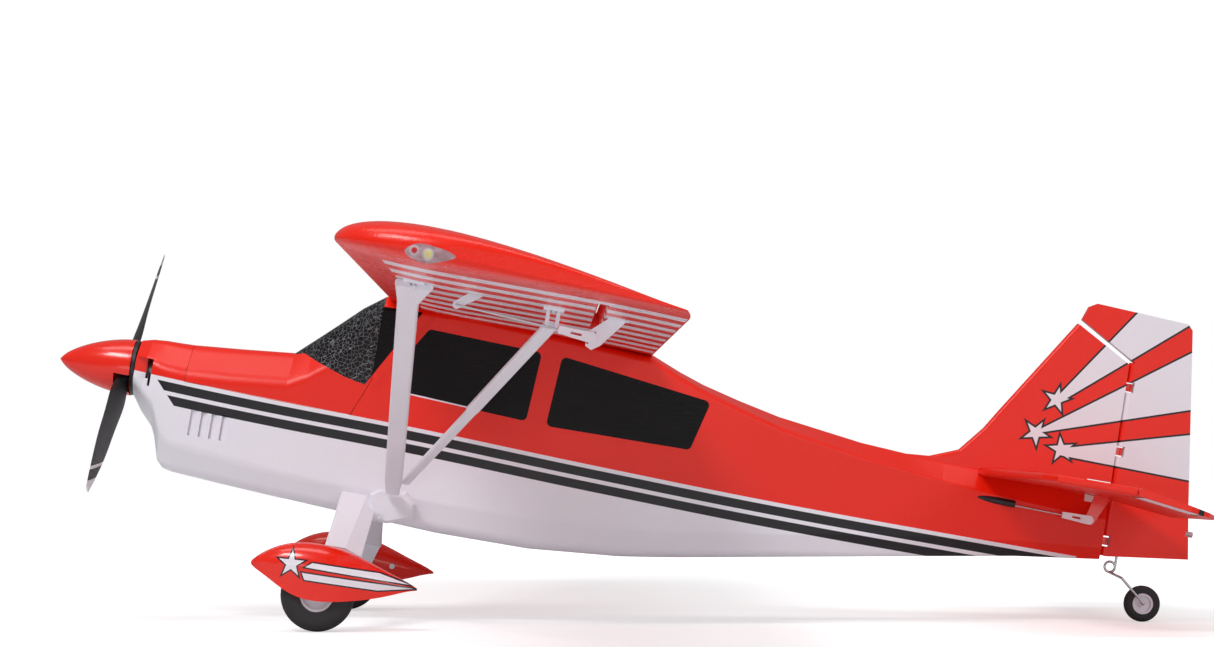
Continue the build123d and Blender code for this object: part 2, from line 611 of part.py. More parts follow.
def motor_stator():
    """Fixed half of the outrunner: cross mount, bearing tube and wound core."""
    cross = block((MOTOR_BACK, MOTOR_BACK + 3), (-14, 14), (-3.5, 3.5))
    cross = Rot(45, 0, 0) * (cross + Rot(90, 0, 0) * cross)
    for y, z in MOTOR_FEET:
        cross += rod((MOTOR_BACK, y, z), (MOTOR_BACK + 3, y, z), 4.0)
    core = rod((MOTOR_BACK + 3, 0, 0), (-14.0, 0, 0), 4.5)
    core += rod((-27.0, 0, 0), (-15.0, 0, 0), 10.5)
    return cross + core - rod((MOTOR_BACK - 1, 0, 0), (-10, 0, 0), 2.0 + FIT)


def motor_bell():
    """Rotating can of the outrunner, open at the back."""
    can = turned([(-28.0, 11.2), (-28.0, 13.8), (-12.0, 13.8), (-8.5, 9.0), (-8.5, 2.0),
                  (-12.5, 2.0), (-12.5, 11.2)])
    return can


def propeller_shaft():
    """Steel shaft with its prop adapter, thread and nut."""
    shaft = rod((-32.0, 0, 0), (22.0, 0, 0), 2.0)
    adapter = rod((-8.5, 0, 0), (-2.0, 0, 0), 6.0)
    nut = rod((PROP_X + 5.5, 0, 0), (PROP_X + 10.5, 0, 0), 5.0)
    return shaft + adapter + nut


def blade_width(share):
    """Chord of a propeller blade at a share of its radius: narrow root, square-cut tip."""
    if share <= 0.3:
        return 11.0 + 9.5 * (share - 0.1) / 0.2
    if share <= 0.6:
        return 20.5 + 2.5 * (share - 0.3) / 0.3
    return 23.0 - 16.0 * ((share - 0.6) / 0.4) ** 1.9


def blade_section(share):
    """Lens-shaped section of a propeller blade at a share of its radius, pitched to the helix."""
    radius = share * PROP_R
    half_width = blade_width(share) / 2
    half_depth = 2.3 * (1 - share) + 0.55
    pitch = radians(min(degrees(atan2(PROP_PITCH, 2 * pi * radius)), 38.0))
    lens = ThreePointArc((-half_width, 0), (0, half_depth), (half_width, 0))
    lens += ThreePointArc((half_width, 0), (0, -half_depth), (-half_width, 0))
    plane = Plane(origin=(PROP_X, 0, radius), x_dir=(-sin(pitch), cos(pitch), 0), z_dir=(0, 0, 1))
    return plane * make_face(lens)


def propeller():
    """Two blades and a hub, parked with one blade low to port."""
    hub = rod((PROP_X - 5.0, 0, 0), (PROP_X + 5.5, 0, 0), 8.0)
    blade = loft([blade_section(share) for share in BLADE_SHARES])
    root = Pos(PROP_X, 0, 10.0) * Box(6.0, 8.0, 16.0)
    prop = hub + (blade + root)
    prop += Rot(180, 0, 0) * (blade + root)
    prop -= rod((-5, 0, 0), (PROP_X + 8, 0, 0), 2.0)
    return Rot(PROP_REST, 0, 0) * prop


def spinner_profile(inset):
    """Generator of the spinner: a blunt ogive from its rim to its tip."""
    steps = 10
    length, radius = SPINNER_LENGTH - inset, SPINNER_R - inset
    points = []
    for index in range(steps + 1):
        share = index / steps
        x = 1.0 + (length - 1.0) * share
        points.append((x, 0, radius * (1 - share ** 1.75) ** 0.72))
    return points


def spinner_solid(inset):
    rim_to_tip = spinner_profile(inset)
    wires = Spline(*rim_to_tip) + Polyline(rim_to_tip[-1], (rim_to_tip[0][0], 0, 0), rim_to_tip[0])
    return revolve(make_face(wires), axis=Axis.X)


def spinner():
    """Hollow nose cone, notched for the two blades."""
    shell = spinner_solid(0.0) - spinner_solid(1.6)
    notch = block((-1.0, 13.0), (-8.5, 8.5), (9.0, 30.0))
    for turn in (0, 180):
        shell -= Rot(PROP_REST + turn, 0, 0) * notch
    return shell


def spinner_backplate():
    plate = rod((-2.0, 0, 0), (0.4, 0, 0), SPINNER_R - 0.6)
    return plate - rod((-3, 0, 0), (1, 0, 0), 2.0)


# ---- tail -----------------------------------------------------------------------------

def fin():
    """Fixed fin with its dorsal fillet and a rounded leading edge."""
    blade = side_prism(FIN_OUTLINE, -FIN_HALF, FIN_HALF)
    front = [edge for edge in blade.edges()
             if edge.center().X > -715 and edge.center().Z > 36 and abs(edge.center().Y) > 3.9]
    blade = fillet(front, 3.0)
    blade -= tailplane_plate()
    for z in RUDDER_HINGES_Z[1:]:
        blade -= hinge_leaf_rudder(z)
    return blade - joiner_slot()


def rudder_wedge():
    """Plan shape of the rudder: full thickness at the hinge, thin at the trailing edge."""
    back = -826.0
    return [(-712.0, 3.4), (RUDDER_HINGE_X, RUDDER_NOSE_R), (back, 1.0), (back, -1.0),
            (RUDDER_HINGE_X, -RUDDER_NOSE_R), (-712.0, -3.4)]


def rudder():
    """Rudder with its balance tip ahead of the hinge and notches for the hinges."""
    blade = side_prism(RUDDER_OUTLINE, -5, 5) & plan_prism(rudder_wedge(), -40, 200)
    blade += rod((RUDDER_HINGE_X, 0, -19.4), (RUDDER_HINGE_X, 0, 131.2), RUDDER_NOSE_R)
    for z in RUDDER_HINGES_Z:
        blade -= Pos(RUDDER_HINGE_X + 2.0, 0, z) * Box(8.0, 12.0, 8.0)
    blade -= rudder_light()
    blade -= tail_wheel_spring()
    return blade - rudder_horn()


def rudder_light():
    """Small clear lamp on the rudder's trailing edge."""
    return rod((-819.0, 0, 7.6), (-824.8, 0, 7.6), 2.2)


def rudder_horn():
    """Horn on the starboard side of the rudder, in line with the hinge."""
    pin_x, pin_y = RUDDER_PIN
    z = RUDDER_HORN_Z
    corners = [(-764.0, -3.0), (-778.0, -3.0), (-762.0, pin_y - 2.5), (pin_x, pin_y - 3.2),
               (pin_x + 2.8, pin_y), (pin_x - 0.5, pin_y + 4.0)]
    horn = plan_prism(corners, z - 0.8, z + 0.8)
    return horn - rod((pin_x, pin_y, z - 3), (pin_x, pin_y, z + 3), PIN_R + FIT)


def tailplane_plate():
    """The tailplane as a flat plate, before its rim is rounded."""
    full = TAILPLANE_OUTLINE + [(x, -y) for x, y in reversed(TAILPLANE_OUTLINE)]
    return plan_prism(full, TAILPLANE_Z - TAILPLANE_HALF_DEPTH, TAILPLANE_Z + TAILPLANE_HALF_DEPTH)


def tailplane():
    """One-piece tailplane through the fuselage, rounded at its leading edge and tips."""
    plate = tailplane_plate()
    rim = [edge for edge in plate.edges()
           if edge.center().X > -735 and abs(edge.center().Z - TAILPLANE_Z) > 0.9 * TAILPLANE_HALF_DEPTH]
    plate = fillet(rim, 0.75 * TAILPLANE_HALF_DEPTH)
    for y in ELEVATOR_HINGES_Y:
        for side in (-1, 1):
            plate -= hinge_leaf_elevator(side * y)
    return plate


def elevator_wedge():
    """Side shape of the elevator, in neutral: full thickness at the hinge, thin at the back."""
    x, z, r = ELEVATOR_HINGE_X, TAILPLANE_Z, ELEVATOR_NOSE_R
    return [(x, z + r), (-802.0, z + 1.4), (-802.0, z - 1.4), (x, z - r)]


def droop(part):
    """Turn a part about the elevator's hinge by the parked droop."""
    hinge = Axis((ELEVATOR_HINGE_X, 0, TAILPLANE_Z), (0, 1, 0))
    return part.rotate(hinge, -ELEVATOR_DROOP)


def elevator():
    """Both elevator halves and the bar that joins them through the tail."""
    half = plan_prism(ELEVATOR_OUTLINE, TAILPLANE_Z - 5, TAILPLANE_Z + 5)
    half &= side_prism(elevator_wedge(), 0, 200)
    half += rod((ELEVATOR_HINGE_X, 8.2, TAILPLANE_Z), (ELEVATOR_HINGE_X, TAILPLANE_HALF, TAILPLANE_Z),
                ELEVATOR_NOSE_R)
    for y in ELEVATOR_HINGES_Y:
        half -= Pos(ELEVATOR_HINGE_X + 2.0, y, TAILPLANE_Z) * Box(8.0, 8.0, 12.0)
    port, starboard = both_sides(half)
    bar = block((-752.0, -743.0), (-12, 12), (TAILPLANE_Z - 2.2, TAILPLANE_Z + 2.2))
    return droop(port + starboard + bar) - elevator_horn()


def joiner_slot():
    """Room in the fin and tail for the elevator's joining bar to swing."""
    return block((-760.0, -737.0), (-20, 20), (TAILPLANE_Z - 9.0, TAILPLANE_Z + 8.5))


def elevator_horn():
    """Nylon horn under the port elevator, its pin below the hinge."""
    y, (pin_x, pin_z) = ELEVATOR_HORN_Y, ELEVATOR_PIN
    low_skin = TAILPLANE_Z - 3.0
    blade = side_prism([(-742.5, low_skin), (-755.0, low_skin), (pin_x - 3.5, pin_z - 3.4),
                        (pin_x + 2.6, pin_z - 3.4), (pin_x + 2.6, pin_z + 3.0)], y - 0.8, y + 0.8)
    return blade - rod((pin_x, y - 3, pin_z), (pin_x, y + 3, pin_z), PIN_R + FIT)


def hinge_leaf_elevator(y):
    """One nylon hinge of the elevator: a barrel on the hinge line and a leaf in the tailplane."""
    x, z = ELEVATOR_HINGE_X, TAILPLANE_Z
    leaf = block((x, x + 14.0), (y - 3, y + 3), (z - 0.5, z + 0.5))
    return leaf + rod((x, y - 3, z), (x, y + 3, z), 1.2)


def hinge_leaf_rudder(z):
    """One nylon hinge of the rudder: a barrel on the hinge line and a leaf in the fin."""
    x = RUDDER_HINGE_X
    leaf = block((x, x + 14.0), (-0.5, 0.5), (z - 3, z + 3))
    return leaf + rod((x, 0, z - 3), (x, 0, z + 3), 1.2)


def surface_hinges():
    leaves = [hinge_leaf_rudder(z) for z in RUDDER_HINGES_Z]
    for y in ELEVATOR_HINGES_Y:
        leaves += [hinge_leaf_elevator(y), hinge_leaf_elevator(-y)]
    return leaves


# ---- tail linkages --------------------------------------------------------------------

ELEVATOR_ARM = (TAIL_ARM_X, 2.0, 21.0)          # where the elevator pushrod meets its arm
RUDDER_ARM = (TAIL_ARM_X, -4.0, 5.0)            # where the rudder pushrod meets its arm
ELEVATOR_ROD = ((ELEVATOR_PIN[0], ELEVATOR_HORN_Y, ELEVATOR_PIN[1]), ELEVATOR_ARM)
RUDDER_ROD = ((RUDDER_PIN[0], RUDDER_PIN[1], RUDDER_HORN_Z), RUDDER_ARM)
ELEVATOR_LEVER = TAILPLANE_Z - ELEVATOR_PIN[1]
RUDDER_LEVER = -RUDDER_PIN[1]
ELEVATOR_PIVOT = (ELEVATOR_ARM[0] + ELEVATOR_HINGE_X - ELEVATOR_PIN[0], ELEVATOR_ARM[1] - 3.0,
                  ELEVATOR_ARM[2] + ELEVATOR_LEVER)
RUDDER_PIVOT = (RUDDER_ARM[0] + RUDDER_HINGE_X - RUDDER_PIN[0], RUDDER_ARM[1] + RUDDER_LEVER,
                RUDDER_ARM[2] - 3.0)
SLEEVE_R, SLEEVE_BORE = 2.75, 2.3
SLEEVES = (                                      # span in x, and the wire's middle offset
    (ELEVATOR_ROD, (-300.0, -683.0), Vector(0, 0, 0.95)),
    (RUDDER_ROD, (-300.0, -662.0), Vector(0, 1.05, 0)),
)


def on_line(ends, x):
    """The point at x on the line between two points."""
    (x0, y0, z0), (x1, y1, z1) = ends
    share = (x - x0) / (x1 - x0)
    return Vector(x, y0 + (y1 - y0) * share, z0 + (z1 - z0) * share)


def sleeve_cores(radius):
    """Round bars along both pushrod sleeves, offset to the side their wires swing to."""
    cores = []
    for ends, (front, back), offset in SLEEVES:
        cores.append(rod(on_line(ends, front) + offset, on_line(ends, back) + offset, radius))
    return cores


def pushrod_sleeves():
    """Two plastic tubes that guide the wires out through the sides of the tail."""
    outer = sleeve_cores(SLEEVE_R)
    bores = sleeve_cores(SLEEVE_BORE)
    return [tube - bore for tube, bore in zip(outer, bores)]


def elevator_servo_arm():
    tip = (ELEVATOR_ARM[0], ELEVATOR_PIVOT[1], ELEVATOR_ARM[2])
    return servo_arm(ELEVATOR_PIVOT, tip, (0, 1, 0))


def rudder_servo_arm():
    tip = (RUDDER_ARM[0], RUDDER_ARM[1], RUDDER_PIVOT[2])
    return servo_arm(RUDDER_PIVOT, tip, (0, 0, 1))


def elevator_pushrod():
    return pushrod(ELEVATOR_ARM, ELEVATOR_ROD[0], (0, 1, 0), (0, -4.2, 0))


def rudder_pushrod():
    return pushrod(RUDDER_ARM, RUDDER_ROD[0], (0, 0, 1), (0, 0, -4.2))


def servos():
    """The four identical servos: one in each wing and two in the cabin."""
    x, y, z = ELEVATOR_PIVOT
    elevator_unit = servo((x, y - 0.9, z), (0, 1, 0), (-1, 0, 0))
    x, y, z = RUDDER_PIVOT
    rudder_unit = servo((x, y, z - 0.9), (0, 0, 1), (-1, 0, 0))
    return [*both_sides(aileron_servo()), elevator_unit, rudder_unit]


# ---- equipment inside the fuselage ----------------------------------------------------

def battery():
    pack = block((-158.0, -66.0), (-17.0, 17.0), (-67.6, -43.6))
    return fillet(pack.edges().filter_by(Axis.X), 3.0)


def speed_controller():
    return fillet(block((-108.0, -58.0), (-34.0, -26.0), (-36.0, -12.0)).edges(), 1.5)


def receiver():
    return fillet(block((-380.0, -334.0), (-12.0, 12.0), (-74.6, -61.6)).edges(), 1.5)


# ---- struts, undercarriage and wheels -------------------------------------------------

def lower_z(x):
    """Height of the wing's lower skin at x."""
    return chord_z(x) - lower_depth((WING_NOSE[0] - x) / CHORD)


def bracket_screw(x, y):
    """Where the screw of the bracket at x and y bears on its plate."""
    return x, y + 8.0, lower_z(x) - 1.6


def strut_bracket(point, prongs_x, blank):
    """Bracket under the wing: a plate against the skin and prongs down into the strut."""
    x, y, z = point
    plate = block((x - 6.5, x + 6.5), (y - 4.5, y + 11), (lower_z(x) - 1.6, lower_z(x) + 1.5)) - blank
    for offset in prongs_x:
        plate += block((x + offset - 1.2, x + offset + 1.2), (y - 3.0, y + 1.5),
                       (z - 3.5, lower_z(x) - 1.0))
    return plate - screw(bracket_screw(x, y), (0, 0, -1), BRACKET_SCREW_LENGTH)


def strut_root(hull, leg):
    """Plastic block on the belly's edge, behind the leg, that both struts of a side clip into."""
    root = side_prism(ROOT_OUTLINE, 40.0, ROOT_Y) - hull[2]
    rim = [edge for edge in root.edges().filter_by(Plane.XZ) if edge.center().Y > ROOT_Y - 0.1]
    root = chamfer(rim, 2.0) - leg
    return root - screw(ROOT_SCREW, (0, 1, 0), ROOT_SCREW_LENGTH)


def strut(ends, widths, bracket, root, blank):
    """A streamlined strut whose width changes along its length, cut back to its fittings."""
    top, foot = Vector(*ends[0]), Vector(*ends[1])
    run = (top - foot).normalized()
    ahead = (Vector(1, 0, 0) - run * run.X).normalized()
    sections = []
    for distance, width, aft in widths:
        plane = Plane(origin=top - run * distance - ahead * aft, x_dir=ahead, z_dir=run)
        sections.append(plane * RectangleRounded(width, STRUT_DEPTH, 2.0))
    clear = loft(sections, ruled=True) - bracket - root - blank
    return clear.solids().sort_by(SortBy.VOLUME)[-1]


def leg_section(point, crease_x):
    """Five-sided section of the undercarriage leg, square to its run, outer face at point."""
    y, z = point
    normal = Vector(0, LEG_TOP[1] - LEG_FOOT[1], LEG_FOOT[0] - LEG_TOP[0]).normalized()
    corners = [(LEG_FRONT_X, -1.5), (LEG_FRONT_X - 1.5, 0), (crease_x, 0), (LEG_BACK_X, -5.0),
               (LEG_BACK_X + 1.0, -6.5), (LEG_FRONT_X - 1.5, -5.0)]
    points = [Vector(x, y, z) + normal * depth for x, depth in corners]
    return make_face(Polyline(*points, close=True))


def gear_leg(hull):
    """Faceted leg: a ramp from the belly out to the wheel pant and a tab to the axle."""
    leg = loft([leg_section(LEG_TOP, LEG_TOP_CREASE_X), leg_section(LEG_FOOT, LEG_FOOT_CREASE_X)],
               ruled=True)
    leg -= block((-210, -170), (LEG_TAB_Y[1], 140), (-130, -90))
    tab = side_prism([(-177.0, -104.0), (-201.5, -109.5), (-190.0, -148.0), (-169.5, -148.0),
                      (-169.5, -130.0)], *LEG_TAB_Y)
    return leg + tab - hull[1] - hull[2] - axle()


def axle():
    """The steel axle of the port wheel, from the leg through both walls of the pant."""
    x, z = MAIN_AXLE
    return rod((x, LEG_TAB_Y[0] - 1.5, z), (x, MAIN_Y + 13.5, z), AXLE_R)


def pant_section(frame):
    """Section of the wheel pant: an arch on nearly upright sides with a flat floor."""
    x, z, half_width, half_height = frame
    arch = ThreePointArc((-half_width, 0), (0, half_height), (half_width, 0))
    floor = half_width * PANT_FLOOR
    sides = Polyline((half_width, 0), (floor, -half_height), (-floor, -half_height), (-half_width, 0))
    plane = Plane(origin=(x, MAIN_Y, z), x_dir=(0, 1, 0), z_dir=(1, 0, 0))
    return plane * make_face(arch + sides)


def wheel_pant():
    """Streamlined fairing over the upper half of a main wheel."""
    pant = loft([pant_section(frame) for frame in PANT_FRAMES])
    x, z = MAIN_AXLE
    room = MAIN_WIDTH / 2 + 1.6
    pant -= rod((x, MAIN_Y - room, z), (x, MAIN_Y + room, z), MAIN_R + 2.2)
    pant += rod((x, LEG_TAB_Y[1] + 0.1, z), (x, MAIN_Y - room, z), 5.5)
    return pant - axle() - screw(PANT_SCREW, (0, -1, 0), PANT_SCREW_LENGTH)


def wheel_tyre(centre, width, radius, hub_radius):
    """A soft tyre with rounded shoulders on the y axis."""
    x, y, z = centre
    ring = rod((x, y - width / 2, z), (x, y + width / 2, z), radius)
    ring = fillet(ring.edges().filter_by(GeomType.CIRCLE), width * 0.42)
    return ring - rod((x, y - width, z), (x, y + width, z), hub_radius)


def wheel_hub(centre, width, radius, bore):
    """A dished hub with a collar round its bore."""
    x, y, z = centre
    hub = rod((x, y - width / 2, z), (x, y + width / 2, z), radius)
    for side in (-1, 1):
        face_y = y + side * width / 2
        dish = rod((x, face_y, z), (x, face_y - side * width * 0.28, z), radius - 1.6)
        hub -= dish - rod((x, face_y, z), (x, face_y - side * width * 0.28, z), bore + 1.8)
    return hub - rod((x, y - width, z), (x, y + width, z), bore)


def main_wheel():
    centre = (MAIN_AXLE[0], MAIN_Y, MAIN_AXLE[1])
    tyre = wheel_tyre(centre, MAIN_WIDTH, MAIN_R, MAIN_HUB_R)
    return tyre, wheel_hub(centre, MAIN_WIDTH * 0.86, MAIN_HUB_R, AXLE_R + FIT)


def tail_wheel():
    centre = (TAIL_AXLE[0], 0.0, TAIL_AXLE[1])
    tyre = wheel_tyre(centre, TAIL_WIDTH, TAIL_R, TAIL_HUB_R)
    return tyre, wheel_hub(centre, TAIL_WIDTH * 0.9, TAIL_HUB_R, 1.0 + FIT)


def tail_wheel_spring():
    """Sprung steel wire: up into the rudder, one coil, down to the tail wheel's axle."""
    wire_r, coil_r = 1.0, 4.0
    coil_x, coil_z = -765.5, -27.0
    side_y = 7.0
    coil = Plane(origin=(coil_x, 0, coil_z), z_dir=(0, 1, 0)) * Torus(coil_r, wire_r)
    riser = rod((coil_x - coil_r, 0, coil_z), (coil_x - coil_r, 0, -6.0), wire_r)
    drop = Polyline((coil_x, 0, coil_z - coil_r), (coil_x - 9.0, side_y, -34.0),
                    (TAIL_AXLE[0], side_y, TAIL_AXLE[1]))
    legs = riser + coil
    for edge in drop.edges():
        legs += rod(edge @ 0, edge @ 1, wire_r)
        legs += Pos(*(edge @ 0)) * Sphere(wire_r)
    x, z = TAIL_AXLE
    axle_bar = rod((x, side_y, z), (x, -side_y, z), wire_r)
    return legs + axle_bar + Pos(x, side_y, z) * Sphere(wire_r)


# ---- fasteners ------------------------------------------------------------------------

def screws():
    """All the small screws: strut brackets, strut roots and wheel pants."""
    port = [screw(bracket_screw(x, y), (0, 0, -1), BRACKET_SCREW_LENGTH)
            for x, y, _ in (FRONT_STRUT[0], REAR_STRUT[0])]
    port.append(screw(ROOT_SCREW, (0, 1, 0), ROOT_SCREW_LENGTH))
    port.append(screw(PANT_SCREW, (0, -1, 0), PANT_SCREW_LENGTH))
    group = []
    for piece in port:
        group += both_sides(piece)
    return group


# ---- export ---------------------------------------------------------------------------

def build():
    """Every node of the aeroplane by name, in the airframe's frame."""
    hull, hollow, blank = hull_segments(), cavity(), wing_blank()
    glass = windscreen(hull)
    windows = [*quarter_light(hull), *window(hull, FRONT_WINDOW), *window(hull, REAR_WINDOW)]
    leg = gear_leg(hull)
    root = strut_root(hull, leg)
    brackets = [strut_bracket(FRONT_STRUT[0], (0.0,), blank),
                strut_bracket(REAR_STRUT[0], (-3.2, 3.2), blank)]
    tyre, hub = main_wheel()
    tail_tyre, tail_hub = tail_wheel()

    nodes = {
        "fuselage": fuselage(hull, hollow, windows),
        "cowl": cowl(),
        "battery_hatch": battery_hatch(hull, hollow, glass),
        "windshield": glass & hatch_reach(GAP),
        "cabin_windows": windows,
        "motor_mount": motor_mount(),
        "motor_stator": thrust(motor_stator()),
        "motor_bell": thrust(motor_bell()),
        "propeller_shaft": thrust(propeller_shaft()),
        "propeller": thrust(propeller()),
        "spinner": thrust(spinner()),
        "spinner_backplate": thrust(spinner_backplate()),
        "battery": battery(),
        "speed_controller": speed_controller(),
        "receiver": receiver(),
        "servos": servos(),
        "pushrod_sleeves": pushrod_sleeves(),
        "elevator_servo_arm": elevator_servo_arm(),
        "elevator_pushrod": elevator_pushrod(),
        "rudder_servo_arm": rudder_servo_arm(),
        "rudder_pushrod": rudder_pushrod(),
        "fin": fin(),
        "rudder": rudder(),
        "rudder_horn": rudder_horn(),
        "rudder_light": rudder_light(),
        "tailplane": tailplane(),
        "elevator": elevator(),
        "elevator_horn": elevator_horn(),
        "surface_hinges": surface_hinges(),
        "wing_tube": wing_tube(),
        "strut_brackets": [piece for part in brackets for piece in both_sides(part)],
        "strut_roots": list(both_sides(root)),
        "wing_tip_lights": list(both_sides(tip_light(blank))),
        "main_axles": list(both_sides(axle())),
        "tail_wheel_spring": tail_wheel_spring(),
        "tail_tyre": tail_tyre,
        "tail_hub": tail_hub,
        "screws": screws(),
    }
    pairs = {
        "wing": wing_half(blank),
        "aileron": aileron(blank),
        "aileron_horn": aileron_horn(),
        "aileron_servo_arm": aileron_servo_arm(),
        "aileron_pushrod": aileron_pushrod(),
        "front_strut": strut(FRONT_STRUT, FRONT_WIDTHS, brackets[0], root, blank),
        "rear_strut": strut(REAR_STRUT, REAR_WIDTHS, brackets[1], root, blank),
        "gear_leg": leg,
        "wheel_pant": wheel_pant(),
        "main_tyre": tyre,
        "main_hub": hub,
    }
    for name, part in pairs.items():
        nodes[f"{name}_left"], nodes[f"{name}_right"] = both_sides(part)
    return nodes


def main():
    os.makedirs("parts", exist_ok=True)
    for name, part in build().items():
        solids = part if isinstance(part, list) else [part]
        pieces = [place(solid) for piece in solids for solid in piece.solids()]
        shape = pieces[0] if len(pieces) == 1 else Compound(children=pieces)
        export_step(shape, f"parts/{name}.step")


if __name__ == "__main__":
    main()
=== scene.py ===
import json
import math

import bpy
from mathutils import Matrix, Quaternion, Vector

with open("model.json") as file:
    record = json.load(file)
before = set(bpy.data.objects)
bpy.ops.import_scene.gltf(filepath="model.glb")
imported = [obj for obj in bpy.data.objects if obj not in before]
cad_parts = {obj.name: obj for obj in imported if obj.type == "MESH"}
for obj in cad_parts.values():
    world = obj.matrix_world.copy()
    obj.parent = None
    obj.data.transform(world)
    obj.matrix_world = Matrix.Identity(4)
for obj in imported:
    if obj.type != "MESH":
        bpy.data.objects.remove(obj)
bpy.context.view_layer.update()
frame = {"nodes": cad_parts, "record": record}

# ---- the airframe's own axes, from the joints ---------------------------------------------

JOINTS = {joint["name"]: joint for joint in frame["record"]["behaviour"]["joints"]}
ORIGIN = Vector(JOINTS["propeller_spin"]["pos_m"])     # centre of the spinner's back plate
UP = Vector(JOINTS["hatch_lift"]["axis"])
FORWARD = Vector((UP.z, 0.0, -UP.x))
MM = 0.001


def at(x, y, z):
    """A point given in the airframe's millimetres, as a place in the scene."""
    return ORIGIN + MM * (FORWARD * x + Vector((0, 1, 0)) * y + UP * z)


# ---- node helpers -------------------------------------------------------------------------

class Tree:
    """A material's node tree with short calls for arithmetic on positions."""

    def __init__(self, name):
        self.material = bpy.data.materials.new(name)
        self.material.use_nodes = True
        self.nodes = self.material.node_tree.nodes
        self.links = self.material.node_tree.links
        self.shader = self.nodes["Principled BSDF"]
        self.place = self.nodes.new("ShaderNodeTexCoord").outputs["Object"]
        self.axes = {}

    def feed(self, socket, value):
        if isinstance(value, bpy.types.NodeSocket):
            self.links.new(value, socket)
        else:
            socket.default_value = value

    def math(self, operation, *values):
        node = self.nodes.new("ShaderNodeMath")
        node.operation = operation
        for socket, value in zip(node.inputs, values):
            self.feed(socket, value)
        return node.outputs[0]

    def along(self, axis):
        """Millimetres from the airframe's origin along its x, y or z axis."""
        if axis not in self.axes:
            direction = {"x": FORWARD, "y": Vector((0, 1, 0)), "z": UP}[axis]
            node = self.nodes.new("ShaderNodeVectorMath")
            node.operation = "DOT_PRODUCT"
            self.links.new(self.place, node.inputs[0])
            node.inputs[1].default_value = direction / MM
            self.axes[axis] = self.math("SUBTRACT", node.outputs["Value"], ORIGIN.dot(direction) / MM)
        return self.axes[axis]

    def line(self, u, v, start, end):
        """Signed distance from the line start to end in the plane of u and v, left is positive."""
        run = (Vector(end) - Vector(start)).normalized()
        normal = Vector((-run.y, run.x))
        offset = -normal.dot(Vector(start))
        return self.math("MULTIPLY_ADD", u, normal.x, self.math("MULTIPLY_ADD", v, normal.y, offset))

    def reach(self, across, up):
        """Length of the vector with these two parts."""
        squares = [self.math("MULTIPLY", part, part) for part in (across, up)]
        return self.math("SQRT", self.math("ADD", *squares))

    def convex(self, u, v, corners):
        """Distance inside a convex outline whose corners run anticlockwise."""
        following = corners[1:] + corners[:1]
        return self.both(*[self.line(u, v, start, end) for start, end in zip(corners, following)])

    def star(self, u, v, centre, radius, turn):
        """Distance inside a five-pointed star; turn is the direction of one point, in degrees.

        The plane is folded about the star's ten axes, so that one edge serves them all.
        """
        across = self.math("SUBTRACT", u, centre[0])
        up = self.math("SUBTRACT", v, centre[1])
        angle = self.math("SUBTRACT", self.math("ARCTAN2", up, across), math.radians(turn))
        sector = math.radians(72)
        folded = self.math("ABSOLUTE", self.math("WRAP", angle, sector / 2, -sector / 2))
        reach = self.reach(across, up)
        out = self.math("MULTIPLY", reach, self.math("COSINE", folded))
        side = self.math("MULTIPLY", reach, self.math("SINE", folded))
        inner = radius * STAR_WAIST
        notch = (inner * math.cos(sector / 2), inner * math.sin(sector / 2))
        return self.line(out, side, (radius, 0.0), notch)

    def both(self, first, *others):
        """Inside every one of the given distances."""
        inside = first
        for other in others:
            inside = self.math("MINIMUM", inside, other)
        return inside

    def either(self, first, *others):
        """Inside at least one of the given distances."""
        inside = first
        for other in others:
            inside = self.math("MAXIMUM", inside, other)
        return inside

    def between(self, value, low, high):
        """Distance inside a stretch of values."""
        return self.both(self.math("SUBTRACT", value, low), self.math("SUBTRACT", high, value))

    def outlined(self, below, distance, width):
        """White where a distance is positive, with a black outline around it."""
        color = self.mix(self.mask(self.math("ADD", distance, width)), below, BLACK)
        return self.mix(self.mask(distance), color, WHITE)

    def mask(self, distance, edge=0.12):
        """1 where a distance is past edge and 0 where it is under -edge, with a ramp between."""
        node = self.nodes.new("ShaderNodeMapRange")
        self.links.new(distance, node.inputs["Value"])
        node.inputs["From Min"].default_value = -edge
        node.inputs["From Max"].default_value = edge
        return node.outputs["Result"]

    def mix(self, factor, below, above):
        """A colour that goes from below to above as the factor goes from 0 to 1."""
        node = self.nodes.new("ShaderNodeMix")
        node.data_type = "RGBA"
        self.feed(node.inputs["Factor"], factor)
        self.feed(node.inputs["A"], below)
        self.feed(node.inputs["B"], above)
        return node.outputs["Result"]

    def noise(self, scale, detail=4.0):
        """Soft random values about 0.5, with scale waves to the metre."""
        node = self.nodes.new("ShaderNodeTexNoise")
        self.links.new(self.place, node.inputs["Vector"])
        node.inputs["Scale"].default_value = scale
        node.inputs["Detail"].default_value = detail
        node.inputs["Roughness"].default_value = 0.55
        return node.outputs["Fac"]

    def cells(self, size):
        """Distance to the nearest edge in a network of cells about size metres across."""
        node = self.nodes.new("ShaderNodeTexVoronoi")
        node.feature = "DISTANCE_TO_EDGE"
        self.links.new(self.place, node.inputs["Vector"])
        node.inputs["Scale"].default_value = 1.0 / size
        return node.outputs["Distance"]

    def spread(self, value, low, high):
        """Map 0..1 to low..high."""
        node = self.nodes.new("ShaderNodeMapRange")
        self.links.new(value, node.inputs["Value"])
        node.inputs["To Min"].default_value = low
        node.inputs["To Max"].default_value = high
        return node.outputs["Result"]

    def bump(self, height, depth, strength, under=None):
        """A surface direction bent by a height; depth is in metres and under is an earlier bump."""
        node = self.nodes.new("ShaderNodeBump")
        node.inputs["Strength"].default_value = strength
        node.inputs["Distance"].default_value = depth
        self.links.new(height, node.inputs["Height"])
        if under is not None:
            self.links.new(under, node.inputs["Normal"])
        return node.outputs["Normal"]

